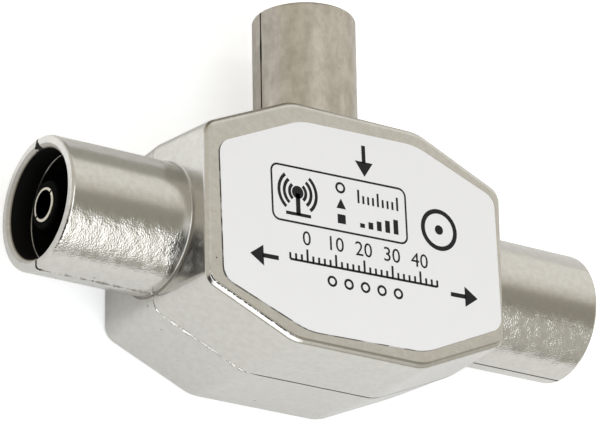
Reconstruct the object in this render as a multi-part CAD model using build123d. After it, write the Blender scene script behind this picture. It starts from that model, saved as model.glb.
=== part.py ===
from build123d import *
import os
from math import cos, radians, sin

# Two-way coaxial splitter: two die-cast half shells that meet at the plane of the three ports.
# Two sockets point along X and one plug points along +Y. The part lies on its flat back.
# The origin is on the back face, under the point where the three port axes cross. Millimetres.

# Body: an eight-sided box, widest at the parting plane, with draft towards the front and the back
body_half_width = 16.2        # half the width at the parting plane
body_half_height = 11.65      # half the height at the parting plane
body_shift_y = 0.2            # the box sits this far above the socket axis
corner_cut_x = 9.3            # each sloped corner runs this far along X
corner_cut_y = 4.05           # and this far along Y
corner_round_side = 1.5       # radius where a sloped corner meets a socket wall
corner_round_end = 4.0        # radius where it meets the top or bottom wall
rear_cover = 3.2              # depth of the rear half beyond the sockets' radius
front_cover = 1.9             # depth of the front half beyond it
draft = 3.3                   # degrees, on both halves
wall = 1.6                    # thickness of every wall of the box
edge_round = 0.55             # rounded edge of the front and back faces
least_corner = 0.7            # no corner of the cavity is sharper than this
seam_chamfer = 0.08           # broken edge of each half at the parting line

# Sockets (outputs): 9.6 mm standard bore
socket_radius = 6.0
socket_bore = 4.8             # radius that the plug's shell slides into
socket_length = 11.7          # how far a socket stands out of the box
socket_root_round = 0.2
socket_depth = 10.0           # free depth of the bore
mouth_relief = 0.08           # the first stretch of the bore is wider by this
mouth_relief_depth = 2.35
mouth_lead = 0.35             # bevel inside a socket's mouth, which leads the plug in
mouth_round = 0.3             # outer edge of every mouth

# Plug (input): 9.45 mm shell
plug_radius = 4.72
plug_bore = 4.1
plug_length = 11.65           # how far the plug stands out of the box
plug_root_round = 0.2
plug_depth = 9.6              # free depth inside the shell

# Saddles: cast blocks inside the box that grip the insulators' flanges
saddle_depth = 2.2            # how far a saddle stands in from the wall
saddle_margin = 1.8           # saddle width beyond the bore, each side
saddle_bite = 0.3             # a saddle reaches this far into the walls
flange_thickness = 1.0
flange_step = 0.8             # how far a flange stands out of its insulator
flange_setback = 0.6          # from the saddle's inner face to the flange
fit_gap = 0.03                # clearance between pieces that seat in each other

# Insulators and contacts
sleeve_radius = 2.2           # black sleeve round each socket contact
sleeve_setback = 0.12         # the sleeve ends this far behind the contact's tip
sleeve_round = 0.3            # rounded end of the sleeve
contact_radius = 1.55         # rolled socket contact, outside
contact_bore = 1.25           # inside, for a 2.4 mm pin
contact_setback = 0.67        # tip of the contact below the mouth
contact_bore_depth = 9.0
contact_tip_round = 0.08
slot_width = 0.22             # two slots make the contact springy
slot_length = 6.0
slot_turn = 34                # degrees from the front, round the axis
pin_radius = 1.2              # plug's centre pin
pin_shank_radius = 1.5        # thicker stretch that the insulator grips
pin_setback = 0.5             # tip of the pin below the mouth
pin_nose = 0.7                # rounding of the pin's tip
tail_width = 1.6              # flat solder tail of each contact
tail_thickness = 0.5
socket_tail_overlap = 2.4     # each socket tail lies on the board this far
plug_tail_overlap = 2.4       # and the plug's tail this far
insulator_lip = 0.4           # how far an insulator reaches into the box

# Pegs that press the halves together
peg_radius = 0.9
peg_boss_radius = 1.6
peg_height = 3.5
peg_inset_x = 6.6             # from the box's widest outline to a peg's centre
peg_spread_y = 7.0            # from the middle of the box to a peg's centre
peg_lead = 0.25               # chamfer on a peg's tip
peg_end_gap = 0.4             # a peg hole is deeper than its peg by this

# Lip that keeps the parting line closed
lip_height = 0.8
lip_width = 0.6
lip_setback = 0.1             # from the cavity's edge to the lip
lip_gap = 0.05
lip_end_gap = 0.3             # the lip stops this far from a saddle

# Board and what it carries
board_thickness = 1.6
board_end_gap = 0.3           # from the board's ends to the socket insulators
board_gap = 0.2               # from the board's edges to the peg bosses
post_radius = 1.1             # cast posts under the board
post_inset_x = 2.7            # from the board's end to a post's centre
post_inset_y = 2.0
wire_radius = 0.16
chip_size = (2.0, 1.25, 0.8)
chip_cap = 0.4                # length of a chip's metal ends
chip_cap_step = 0.04
output_chip_inset = 3.3       # from the board's end to an output chip's centre
output_chip_y = 2.6
input_chip_place = (2.6, 4.2)
solder_radius = 1.15
solder_height = 0.55

# Splitting transformer: a two-hole ferrite core
twin_core_width = 5.4
twin_core_height = 3.0
twin_core_length = 4.0
twin_hole_radius = 0.75
twin_hole_spacing = 2.4
twin_place = (-3.4, -1.8)
turn_overhang = 0.5           # the wire turns back this far outside the core
turn_spread = 0.35            # half the space between two turns in a hole
turn_rise = 0.3               # half the height between two turns in a hole

# Matching transformer: a ferrite ring that stands on edge
ring_outer = 2.5
ring_inner = 1.2
ring_width = 2.2
ring_turns = 5
ring_first_turn = 20          # degrees
ring_place = (3.4, -1.8)

# Bridging resistor with bent leads
resistor_body = 3.2
resistor_radius = 0.75
resistor_end_radius = 0.9
resistor_end_length = 0.7
resistor_span = 6.0
resistor_lead = 0.22
resistor_lift = 0.1           # space between the resistor and the board
resistor_place = (0.0, 1.9)

# Earth clips under the board
clip_thickness = 0.25
clip_width = 2.0
clip_length = 3.0
clip_bow = 0.9
clip_inset = 4.0              # from a post's centre to a clip's centre
clip_y = -2.6

# Label on the front face, stuck on a little askew
label_margin_x = 1.52         # from the box's widest outline to the label's edge
label_margin_y = 1.94
label_cut_x = 8.55
label_cut_y = 3.54
label_round_side = 1.5
label_round_end = 6.0
label_thickness = 0.12
label_centre = (0.4, 0.05)
label_turn = 1.7              # degrees

# What follows from these
past = 1.0                    # cutting shapes overshoot by this
close = 0.02                  # edges are picked by place to within this
rear_depth = socket_radius + rear_cover
front_depth = socket_radius + front_cover
axis_z = rear_depth
front_z = rear_depth + front_depth
socket_reach = body_half_width + socket_length
plug_reach = body_shift_y + body_half_height + plug_length
floor_z = wall
ceiling_z = front_z - wall
board_top = axis_z - tail_thickness / 2
board_bottom = board_top - board_thickness
inner_half_width = body_half_width - wall
inner_top = body_shift_y + body_half_height - wall
socket_saddle_x = inner_half_width - saddle_depth
plug_saddle_y = inner_top - saddle_depth
peg_spread_x = body_half_width - peg_inset_x
board_half_length = socket_saddle_x - insulator_lip - board_end_gap
board_half_width = peg_spread_y - peg_boss_radius - board_gap
post_x = board_half_length - post_inset_x
post_y = board_half_width - post_inset_y
socket_tail_end = board_half_length - socket_tail_overlap
plug_tail_end = body_shift_y + board_half_width - plug_tail_overlap
label_half_width = body_half_width - label_margin_x
label_half_height = body_half_height - label_margin_y


def octagon(half_width, half_height, cut_x, cut_y):
    """Eight-sided outline with sharp corners."""
    quarter = [(half_width, half_height - cut_y), (half_width - cut_x, half_height)]
    corners = quarter + [(-x, y) for x, y in reversed(quarter)]
    corners += [(-x, -y) for x, y in quarter] + [(x, -y) for x, y in reversed(quarter)]
    return make_face(Polyline(*corners, close=True))


def uprights(solid):
    """Edges that run up and down, those of the end walls first."""
    edges = [e for e in solid.edges() if abs(e.position_at(0).Z - e.position_at(1).Z) > close]
    return sorted(edges, key=lambda e: abs(e.center().X))


def round_uprights(solid, round_side, round_end):
    """Round the eight upright edges: one radius at the socket walls, one at the end walls."""
    solid = fillet(uprights(solid)[4:], round_side)
    return fillet(uprights(solid)[:4], round_end)


def box_block(inset, depth, taper=0):
    """Block on the parting plane with the box's outline moved inwards, so that walls come out even."""
    slope = (corner_cut_x**2 + corner_cut_y**2) ** 0.5
    cut_x = corner_cut_x - inset * (1 - (slope - corner_cut_x) / corner_cut_y)
    cut_y = corner_cut_y - inset * (1 - (slope - corner_cut_y) / corner_cut_x)
    outline = octagon(body_half_width - inset, body_half_height - inset, cut_x, cut_y)
    solid = extrude(Pos(0, body_shift_y, axis_z) * outline, amount=depth, taper=taper)
    rounds = [max(corner - inset, least_corner) for corner in (corner_round_side, corner_round_end)]
    return round_uprights(solid, *rounds)


def drafted_box(inset, side):
    """One half of the box, with every face moved inwards by the inset, and with draft."""
    box = box_block(inset, (front_depth if side > 0 else rear_depth) - inset, draft)
    return box if side > 0 else mirror(box, Plane.XY.offset(axis_z))


def along_x(radius, start, end):
    """Cylinder on the socket axis, from one X to another."""
    return Pos((start + end) / 2, 0, axis_z) * Rot(0, 90, 0) * Cylinder(radius, abs(end - start))


def along_y(radius, start, end):
    """Cylinder on the plug's axis, from one Y to another."""
    return Pos(0, (start + end) / 2, axis_z) * Rot(90, 0, 0) * Cylinder(radius, abs(end - start))


def block(low, high):
    """Box between two opposite corners."""
    size = [b - a for a, b in zip(low, high)]
    return Pos(*[(a + b) / 2 for a, b in zip(low, high)]) * Box(*size)


def half_space(side):
    """Everything on one side of the parting plane: front is +1, rear is -1."""
    reach = 2 * socket_reach
    far = axis_z + side * reach
    return block((-reach, -reach, min(axis_z, far)), (reach, reach, max(axis_z, far)))


def rounded_mouths():
    """The three barrels as full cylinders with their outer edges rounded."""
    sockets = along_x(socket_radius, -socket_reach, socket_reach)
    sockets = fillet(sockets.edges().filter_by(GeomType.CIRCLE), mouth_round)
    plug = along_y(plug_radius, 0, plug_reach)
    plug = fillet(plug.edges().filter_by(GeomType.CIRCLE).sort_by(Axis.Y)[-1], mouth_round)
    return sockets, plug


def root_edges(solid, side, along_socket):
    """Edges where the sockets, or the plug, meet the box on one half."""
    radius = socket_radius if along_socket else plug_radius
    wall_place = body_half_width if along_socket else body_shift_y + body_half_height
    found = []
    for edge in solid.edges().filter_by(GeomType.LINE, reverse=True):
        middle = edge.position_at(0.5)
        across, along = (middle.Y, abs(middle.X)) if along_socket else (middle.X, middle.Y)
        from_axis = (across**2 + (middle.Z - axis_z) ** 2) ** 0.5
        inside = side * (middle.Z - axis_z) > close and 0 < along < wall_place + close
        if inside and abs(from_axis - radius) < close:
            found.append(edge)
    return found


def port_bores():
    """Everything that the three ports cut out of both halves, flange grooves included."""
    seat = socket_saddle_x + flange_setback
    cut = along_x(socket_bore, -socket_reach - past, socket_reach + past)
    groove = along_x(socket_bore + flange_step + fit_gap, seat - fit_gap, seat + flange_thickness + fit_gap)
    relief = along_x(socket_bore + mouth_relief, socket_reach - mouth_relief_depth, socket_reach + past)
    lead_radius = socket_bore + mouth_relief
    lead = Cone(lead_radius, lead_radius + mouth_lead + past, mouth_lead + past)
    lead = Pos(socket_reach + (past - mouth_lead) / 2, 0, axis_z) * Rot(0, 90, 0) * lead
    for port in (groove, relief, lead):
        cut += port + mirror(port, Plane.YZ)
    seat = plug_saddle_y + flange_setback
    cut += along_y(plug_bore, plug_saddle_y - past, plug_reach + past)
    cut += along_y(plug_bore + flange_step + fit_gap, seat - fit_gap, seat + flange_thickness + fit_gap)
    return cut


def saddles(side):
    """Cast blocks behind the ports, from the shell's inner face to the parting plane."""
    inner = floor_z if side < 0 else ceiling_z
    far = inner + side * saddle_bite
    low_z, high_z = min(far, axis_z), max(far, axis_z)
    reach = socket_bore + saddle_margin
    right = block((socket_saddle_x, -reach, low_z), (inner_half_width + saddle_bite, reach, high_z))
    reach = plug_bore + saddle_margin
    top = block((-reach, plug_saddle_y, low_z), (reach, inner_top + saddle_bite, high_z))
    return right + mirror(right, Plane.YZ) + top


def peg_spots():
    """Centres of the four pegs."""
    return [(sx * peg_spread_x, body_shift_y + sy * peg_spread_y) for sx in (-1, 1) for sy in (-1, 1)]


def lip_ring(outer_inset, inner_inset, height, end_gap):
    """Ring along the box's wall above the parting plane, broken at the ports."""
    ring = box_block(outer_inset, height) - box_block(inner_inset, height)
    top = axis_z + 2 * height
    reach = socket_bore + saddle_margin + end_gap
    ring -= block((-socket_reach, -reach, axis_z - past), (socket_reach, reach, top))
    reach = plug_bore + saddle_margin + end_gap
    return ring - block((-reach, 0, axis_z - past), (reach, plug_reach, top))


def outer_half(side):
    """One half's outside: drafted box, half barrels, root fillets and rounded face edge."""
    sockets, plug = rounded_mouths()
    half = half_space(side)
    solid = drafted_box(0, side) + (sockets & half) + (plug & half)
    solid = fillet(root_edges(solid, side, along_socket=True), socket_root_round)
    solid = fillet(root_edges(solid, side, along_socket=False), plug_root_round)
    far = front_z if side > 0 else 0
    return fillet([e for e in solid.edges() if abs(e.center().Z - far) < close], edge_round)


def seam_edges(solid):
    """Outer edges of a half at the parting plane, for the broken edge along the seam."""
    flats = [f for f in solid.faces().filter_by(Plane.XY) if abs(f.center().Z - axis_z) < close]
    return [e for f in flats for e in f.outer_wire().edges()]


def shell(side):
    """One die-cast half shell."""
    solid = outer_half(side)
    solid = chamfer(seam_edges(solid), seam_chamfer) - drafted_box(wall, side)
    solid += saddles(side) & drafted_box(wall - saddle_bite, side)
    inner = floor_z if side < 0 else ceiling_z
    for x, y in peg_spots():
        boss = Pos(x, y, (inner + axis_z) / 2) * Cylinder(peg_boss_radius, abs(inner - axis_z))
        solid += boss
    solid -= port_bores()
    return solid


def make_rear_shell():
    """Rear half: flat back, four pegs, four board posts and the lip."""
    solid = shell(-1)
    for x, y in peg_spots():
        peg = Pos(x, y, axis_z + peg_height / 2) * Cylinder(peg_radius, peg_height)
        solid += chamfer(peg.edges().filter_by(GeomType.CIRCLE).sort_by(Axis.Z)[-1], peg_lead)
    for sx in (-1, 1):
        for sy in (-1, 1):
            height = board_bottom - floor_z
            solid += Pos(sx * post_x, sy * post_y, floor_z + height / 2) * Cylinder(post_radius, height)
    lip_inner = wall - lip_setback
    return solid + lip_ring(lip_inner - lip_width, lip_inner, lip_height, lip_end_gap)


def make_front_shell():
    """Front half: flat face for the label, peg holes and the rebate for the lip."""
    solid = shell(1)
    depth = peg_height + peg_end_gap
    for x, y in peg_spots():
        solid -= Pos(x, y, axis_z + depth / 2) * Cylinder(peg_radius + fit_gap, depth)
    rebate_outer = wall - lip_setback - lip_width - lip_gap
    return solid - lip_ring(rebate_outer, wall + lip_gap, lip_height + lip_gap, lip_end_gap - lip_gap)


def make_label():
    """Thin printed label, turned a little on the front face."""
    outline = octagon(label_half_width, label_half_height, label_cut_x, label_cut_y)
    film = round_uprights(extrude(outline, amount=label_thickness), label_round_side, label_round_end)
    return Pos(*label_centre, front_z) * Rot(0, 0, label_turn) * film


def make_socket_insulator():
    """Right socket's insulator: plug in the bore, flange in the groove and a long sleeve."""
    seat = socket_saddle_x + flange_setback
    solid = along_x(socket_bore - fit_gap, socket_saddle_x - insulator_lip, socket_reach - socket_depth)
    solid += along_x(socket_bore + flange_step, seat, seat + flange_thickness)
    tip = socket_reach - contact_setback - sleeve_setback
    sleeve = along_x(sleeve_radius, socket_saddle_x, tip)
    solid += fillet(sleeve.edges().filter_by(GeomType.CIRCLE).sort_by(Axis.X)[-1], sleeve_round)
    return solid - along_x(contact_radius + fit_gap, 0, socket_reach)


def make_socket_contact():
    """Right socket's contact: a rolled tube with two slots and a flat solder tail."""
    tip = socket_reach - contact_setback
    back = socket_saddle_x - insulator_lip
    tube = along_x(contact_radius, back, tip)
    tube = fillet(tube.edges().filter_by(GeomType.CIRCLE).sort_by(Axis.X)[-1], contact_tip_round)
    tube -= along_x(contact_bore, tip - contact_bore_depth, tip + past)
    slot = Box(slot_length + past, slot_width, 4 * contact_radius)
    tube -= Pos(tip - (slot_length - past) / 2, 0, axis_z) * Rot(-slot_turn, 0, 0) * slot
    half = tail_width / 2
    return tube + block((socket_tail_end, -half, board_top), (back, half, board_top + tail_thickness))


def make_plug_insulator():
    """Plug's insulator: a disc that fills the shell behind its free depth."""
    seat = plug_saddle_y + flange_setback
    solid = along_y(plug_bore - fit_gap, plug_saddle_y - insulator_lip, plug_reach - plug_depth)
    solid += along_y(plug_bore + flange_step, seat, seat + flange_thickness)
    return solid - along_y(pin_shank_radius + fit_gap, 0, plug_reach)


def make_plug_pin():
    """Plug's centre pin with a gripped shank, a round nose and a flat solder tail."""
    tip = plug_reach - pin_setback
    back = plug_saddle_y - insulator_lip
    pin = along_y(pin_radius, back, tip)
    pin = fillet(pin.edges().filter_by(GeomType.CIRCLE).sort_by(Axis.Y)[-1], pin_nose)
    pin += along_y(pin_shank_radius, back, plug_reach - plug_depth)
    half = tail_width / 2
    return pin + block((-half, plug_tail_end, board_top), (half, back, board_top + tail_thickness))


def make_board():
    """Circuit board that rests on the four posts."""
    board = Box(2 * board_half_length, 2 * board_half_width, board_thickness)
    return Pos(0, body_shift_y, board_top - board_thickness / 2) * board


def solder_bead(x, y):
    """Low dome of solder over the end of a tail."""
    bead = Cone(solder_radius, solder_radius / 2, solder_height + tail_thickness)
    return Pos(x, y, board_top + (solder_height + tail_thickness) / 2) * bead


def make_chip(x, y, turn):
    """Surface-mount chip: ceramic body with two slightly thicker metal ends."""
    length, width, height = chip_size
    step = 2 * chip_cap_step
    solid = Box(length - 2 * chip_cap, width - step, height - step)
    for side in (-1, 1):
        solid += Pos(side * (length - chip_cap) / 2, 0, 0) * Box(chip_cap, width, height)
    return Pos(x, y, board_top + height / 2) * Rot(0, 0, turn) * solid


def wire(points, radius):
    """Round wire along straight runs with mitred corners."""
    path = Polyline(*points)
    start = Plane(origin=path @ 0, z_dir=path % 0)
    return sweep(start * Circle(radius), path=path, transition=Transition.RIGHT)


def make_twin_core():
    """Two-hole ferrite core that lies on the board, holes along Y."""
    radius = twin_core_height / 2
    profile = SlotOverall(twin_core_width, twin_core_height)
    profile -= [Pos(side * twin_hole_spacing / 2, 0) * Circle(twin_hole_radius) for side in (-1, 1)]
    solid = extrude(Plane.XZ * profile, amount=twin_core_length / 2, both=True)
    return Pos(*twin_place, board_top + radius) * solid


def make_twin_winding():
    """Two turns of wire through both holes of the two-hole core."""
    end = twin_core_length / 2 + turn_overhang
    hole = twin_hole_spacing / 2
    outer, inner = hole + turn_spread, hole - turn_spread
    board = -twin_core_height / 2
    points = [(-outer, -end, board), (-outer, -end, -turn_rise), (-outer, end, -turn_rise),
              (inner, end, -turn_rise), (inner, -end, -turn_rise), (inner, -end, turn_rise),
              (-inner, -end, turn_rise), (-inner, end, turn_rise), (outer, end, turn_rise),
              (outer, -end, turn_rise), (outer, -end, board)]
    return Pos(*twin_place, board_top + twin_core_height / 2) * wire(points, wire_radius)


def make_ring_core():
    """Ferrite ring that stands on edge on the board, axis along Y."""
    ring = Cylinder(ring_outer, ring_width) - Cylinder(ring_inner, ring_width)
    return Pos(*ring_place, board_top + ring_outer) * Rot(90, 0, 0) * ring


def make_ring_winding():
    """Turns of wire round the ring's upper part, with both ends led down to the board."""
    gap = wire_radius + fit_gap
    inside, outside, side = ring_inner - gap, ring_outer + gap, ring_width / 2 + gap
    step = (180 - 2 * ring_first_turn) / ring_turns

    def at(radius, degrees, y):
        return (radius * cos(radians(degrees)), y, radius * sin(radians(degrees)))

    points = [(outside, -side, -ring_outer), at(outside, 0, -side)]
    for turn in range(ring_turns):
        angle = ring_first_turn + turn * step
        points += [at(inside, angle, -side), at(inside, angle, side)]
        points += [at(outside, angle + step / 2, side), at(outside, angle + step / 2, -side)]
    points += [at(outside, 180, -side), (-outside, -side, -ring_outer)]
    return Pos(*ring_place, board_top + ring_outer) * wire(points, wire_radius)


def make_resistor():
    """Bridging resistor: dumb-bell body and two leads bent down to the board."""
    height = resistor_end_radius + resistor_lift
    solid = Rot(0, 90, 0) * Cylinder(resistor_radius, resistor_body)
    for side in (-1, 1):
        place = side * (resistor_body - resistor_end_length) / 2
        solid += Pos(place, 0, 0) * Rot(0, 90, 0) * Cylinder(resistor_end_radius, resistor_end_length)
    half = resistor_span / 2
    for side in (-1, 1):
        bends = [(side * resistor_body / 2, 0, 0), (side * half, 0, 0), (side * half, 0, -height)]
        solid += wire(bends, resistor_lead)
    return Pos(*resistor_place, board_top + height) * solid


def make_earth_clip(side):
    """Bowed strip between the back wall and the board's underside."""
    height = board_bottom - floor_z
    thick = clip_thickness
    tip, bow = clip_length, clip_length + clip_bow
    outer_bow = ThreePointArc((tip, 0), (bow, height / 2), (tip, height))
    inner_bow = ThreePointArc((tip, height - thick), (bow - thick, height / 2), (tip, thick))
    head = Polyline((tip, height), (0, height), (0, height - thick), (tip, height - thick))
    foot = Polyline((tip, thick), (0, thick), (0, 0), (tip, 0))
    outline = make_face([outer_bow, head, inner_bow, foot])
    strip = extrude(Plane.XZ * outline, amount=clip_width / 2, both=True)
    strip = Pos(post_x - clip_inset - clip_length / 2, clip_y, floor_z) * strip
    return strip if side > 0 else mirror(strip, Plane.YZ)


def build():
    """Every piece of the splitter, by node name."""
    insulator, contact = make_socket_insulator(), make_socket_contact()
    pin, board = make_plug_pin(), make_board()
    left_contact = mirror(contact, Plane.YZ)
    solder_x, solder_y = socket_tail_end + solder_radius, plug_tail_end + solder_radius
    chip_x = board_half_length - output_chip_inset
    return {
        "front_shell": make_front_shell(),
        "rear_shell": make_rear_shell(),
        "label": make_label(),
        "out_right_insulator": insulator,
        "out_left_insulator": mirror(insulator, Plane.YZ),
        "in_insulator": make_plug_insulator(),
        "out_right_contact": contact,
        "out_left_contact": left_contact,
        "in_pin": pin,
        "circuit_board": board,
        "out_right_solder": solder_bead(solder_x, 0) - contact,
        "out_left_solder": solder_bead(-solder_x, 0) - left_contact,
        "in_solder": solder_bead(0, solder_y) - pin,
        "splitter_core": make_twin_core(),
        "splitter_winding": make_twin_winding(),
        "matching_core": make_ring_core(),
        "matching_winding": make_ring_winding(),
        "isolation_resistor": make_resistor(),
        "input_capacitor": make_chip(*input_chip_place, 90),
        "out_left_capacitor": make_chip(-chip_x, output_chip_y, 0),
        "out_right_capacitor": make_chip(chip_x, output_chip_y, 0),
        "earth_clip_left": make_earth_clip(-1),
        "earth_clip_right": make_earth_clip(1),
    }


os.makedirs("parts", exist_ok=True)
for name, solid in build().items():
    export_step(solid, f"parts/{name}.step")
    print(name, len(solid.solids()), round(solid.volume, 2))
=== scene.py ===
# %% [markdown]
# A coaxial splitter for aerial leads: a nickel-plated die-cast box with two sockets, one plug and
# a printed label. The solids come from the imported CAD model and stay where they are. This script
# gives them real finishes, adds the small things that a casting and a label show, and lights them.

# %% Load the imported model
import bpy
import numpy as np
from mathutils import Matrix, Vector


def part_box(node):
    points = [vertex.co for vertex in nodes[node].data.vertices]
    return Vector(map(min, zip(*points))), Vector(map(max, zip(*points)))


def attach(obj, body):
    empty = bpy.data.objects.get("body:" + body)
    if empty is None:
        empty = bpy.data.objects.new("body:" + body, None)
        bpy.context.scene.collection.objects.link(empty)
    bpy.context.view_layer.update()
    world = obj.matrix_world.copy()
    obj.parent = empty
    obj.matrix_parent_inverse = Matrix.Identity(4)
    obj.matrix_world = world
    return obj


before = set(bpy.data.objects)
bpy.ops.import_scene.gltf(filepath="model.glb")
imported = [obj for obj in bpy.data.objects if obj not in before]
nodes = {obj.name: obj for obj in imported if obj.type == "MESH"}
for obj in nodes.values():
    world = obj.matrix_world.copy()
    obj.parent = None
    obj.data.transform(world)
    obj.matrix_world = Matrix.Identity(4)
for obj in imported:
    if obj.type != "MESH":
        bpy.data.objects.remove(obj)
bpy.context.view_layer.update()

# %% [markdown]
# Blender works in metres, but a casting this small is easier to think of in millimetres. So every
# size below is in millimetres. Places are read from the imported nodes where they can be, so that
# they follow the solids.

# %% Places in millimetres, read from the nodes
MM = 0.001


def box_mm(node):
    """Lowest and highest corner of a node, in millimetres."""
    low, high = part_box(node)
    return np.array(low) / MM, np.array(high) / MM


front_low, front_high = box_mm("front_shell")
label_high = box_mm("label")[1]
parting_z = float(front_low[2])
front_z = float(front_high[2])
label_top = float(label_high[2])
socket_reach = float(front_high[0])
plug_reach = float(front_high[1])
print("parting plane", round(parting_z, 3), "front face", round(front_z, 3))
print("label top", round(label_top, 3))
print("socket mouth at x", round(socket_reach, 3), "plug mouth at y", round(plug_reach, 3))

# %% [markdown]
# The outline of the casting where its two halves meet. These are the real sizes of the box and its
# three barrels. The finish needs them to know a bore from a wall, and the thin flash along the seam
# follows them.

# %% Sizes of the casting
socket_radius = 6.0
socket_bore = 4.8
plug_radius = 4.72
plug_bore = 4.1
relief_depth = 2.35         # the mouth's wider part ends in a step this deep
mouth_outer = 5.25          # where the bevel inside a socket's mouth meets its flat rim
contact_bore = 1.25
side_wall_x = 16.2          # outside of the box at the sockets
side_corner_y = 7.6
end_wall_y = 11.65          # outside of the box at the plug, from the box's own middle
end_corner_x = 6.9
box_shift_y = 0.2           # the box's middle lies this far above the sockets' axis
side_round = 1.5
end_round = 4.0
root_round = 0.2            # where a barrel grows out of the box
print("box", 2 * side_wall_x, "by", 2 * end_wall_y, "mm at the parting plane")

# %% [markdown]
# Real colours are easiest to give as the hex values of a paint chart. The renderer wants linear
# light, so one function turns the first into the second. A second function adds one node to a
# material: a plain value sets a socket, and the output of another node is linked to it. Sockets go
# by their name, or by their number among those in use.

# %% Colour and node helpers
def linear(hex_colour):
    """sRGB hex to linear RGBA: below 0.04045 divide by 12.92, above it use the 2.4 power curve."""
    srgb = np.array([int(hex_colour[i:i + 2], 16) for i in (0, 2, 4)]) / 255
    light = np.where(srgb <= 0.04045, srgb / 12.92, ((srgb + 0.055) / 1.055) ** 2.4)
    return (*map(float, light), 1.0)


def add(tree, kind, inputs, **settings):
    """One shader node with its settings and inputs; gives back its first output in use."""
    node = tree.nodes.new("ShaderNode" + kind)
    for name, value in settings.items():
        setattr(node, name, value)
    live = [socket for socket in node.inputs if socket.enabled]
    for key, value in inputs.items():
        socket = live[key] if isinstance(key, int) else next(s for s in live if s.name == key)
        if isinstance(value, bpy.types.NodeSocket):
            tree.links.new(value, socket)
        else:
            socket.default_value = value
    return next((socket for socket in node.outputs if socket.enabled), None)


def start_material(name):
    """Empty material, its node tree, and the object's own coordinates in millimetres."""
    material = bpy.data.materials.new(name)
    material.use_nodes = True
    tree = material.node_tree
    tree.nodes.clear()
    place = add(tree, "TexCoord", {}).node.outputs["Object"]
    return material, tree, add(tree, "Mapping", {"Vector": place, "Scale": (1 / MM, 1 / MM, 1 / MM)})


def finish_material(material, tree, sockets):
    """Joins a principled surface with these sockets to the output."""
    surface = add(tree, "BsdfPrincipled", sockets)
    add(tree, "OutputMaterial", {"Surface": surface})
    print("material", material.name, "has", len(tree.nodes), "nodes")
    return material


print("mid grey 808080 is", round(linear("808080")[0], 4), "in linear light")

# %% [markdown]
# Most of what shows is nickel plate on die-cast zinc. The mould gives it a fine skin, the plating
# makes that skin shine like satin, and handling leaves small dark specks. Nickel is a slightly warm
# grey metal. Deep in the bores and along the seam, shade is painted in as near black. The near side
# of both sockets came out of a rougher part of the mould: its pebbles are steep enough to glint one
# by one.

# %% Sizes of the casting's finish
pebble_mm = 0.15            # pebbled skin: its largest grains, with finer ones in them
grain_mm = 0.16             # size of the crystal grains among them
pebble_high_mm = 0.038      # height of both
patch_mm = 0.9              # patches where the pebbles are higher
ripple_mm = 3.5             # slow unevenness of the plated faces
ripple_high_mm = 0.025
mottle_mm = 0.6             # cloudy tone of the plating
speck_mm = 1.9              # spacing of dark specks
chip_mm = 0.3               # size of small chips
chip_deep_mm = 0.7          # the left mouth is chipped this far, and the bores' painted shade reaches into it
stain_mm = 1.1              # size of the brown stains on the plug
seam_dark_mm = 0.12         # the seam's groove is painted dark, as shade, this far to each side
seam_shade_start_x = -7.0         # left of this the groove gets no painted shade
plug_gap_y = 19.6           # the plug's left seam is painted dark here, as the shade of a gap
crease_below_mm = 0.035     # painted shade of a fine crease runs along the front edge this far below it
crease_half_mm = 0.032
print("grains of", grain_mm, "mm,", round(2 * np.pi * socket_radius / grain_mm), "round a socket")

# %% [markdown]
# A finish that changes from place to place needs masks: numbers from 0 to 1 that say where it holds.
# A picture could be painted for them, but distances do it better here, because they stay sharp at
# any size: the distance to a port's axis, to the parting plane and to the front face. A mask is 1
# where every value lies past its second limit, 0 before its first, and smooth between.

# %% Masks and distances
def where(tree, *limits):
    """Product of smooth steps: each is 0 at a value's first limit and 1 at its second."""
    mask = 1.0
    for value, none, full in limits:
        part = add(tree, "MapRange", {0: value, 1: none, 2: full}, interpolation_type="SMOOTHSTEP")
        mask = add(tree, "Math", {0: mask, 1: part}, operation="MULTIPLY")
    return mask


def away_from(tree, value, place):
    """Distance of a value from a place, without its sign."""
    difference = add(tree, "Math", {0: value, 1: place}, operation="SUBTRACT")
    return add(tree, "Math", {0: difference}, operation="ABSOLUTE")


def strongest(tree, masks):
    """The largest of several masks at each place."""
    most = 0.0
    for mask in masks:
        most = add(tree, "Math", {0: most, 1: mask}, operation="MAXIMUM")
    return most


def casting_distances(tree, place):
    """Places and distances, in millimetres, that the casting's finish depends on."""
    x, y, z = add(tree, "SeparateXYZ", {0: place}).node.outputs
    rise = add(tree, "Math", {0: z, 1: parting_z}, operation="SUBTRACT")
    across_socket = add(tree, "CombineXYZ", {"Y": y, "Z": rise})
    across_plug = add(tree, "CombineXYZ", {"X": x, "Z": rise})
    return {
        "x": x,
        "y": y,
        "z": z,
        "reach": add(tree, "Math", {0: x}, operation="ABSOLUTE"),
        "seam": add(tree, "Math", {0: rise}, operation="ABSOLUTE"),
        "socket axis": add(tree, "VectorMath", {0: across_socket}, operation="LENGTH"),
        "plug axis": add(tree, "VectorMath", {0: across_plug}, operation="LENGTH"),
    }
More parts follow.
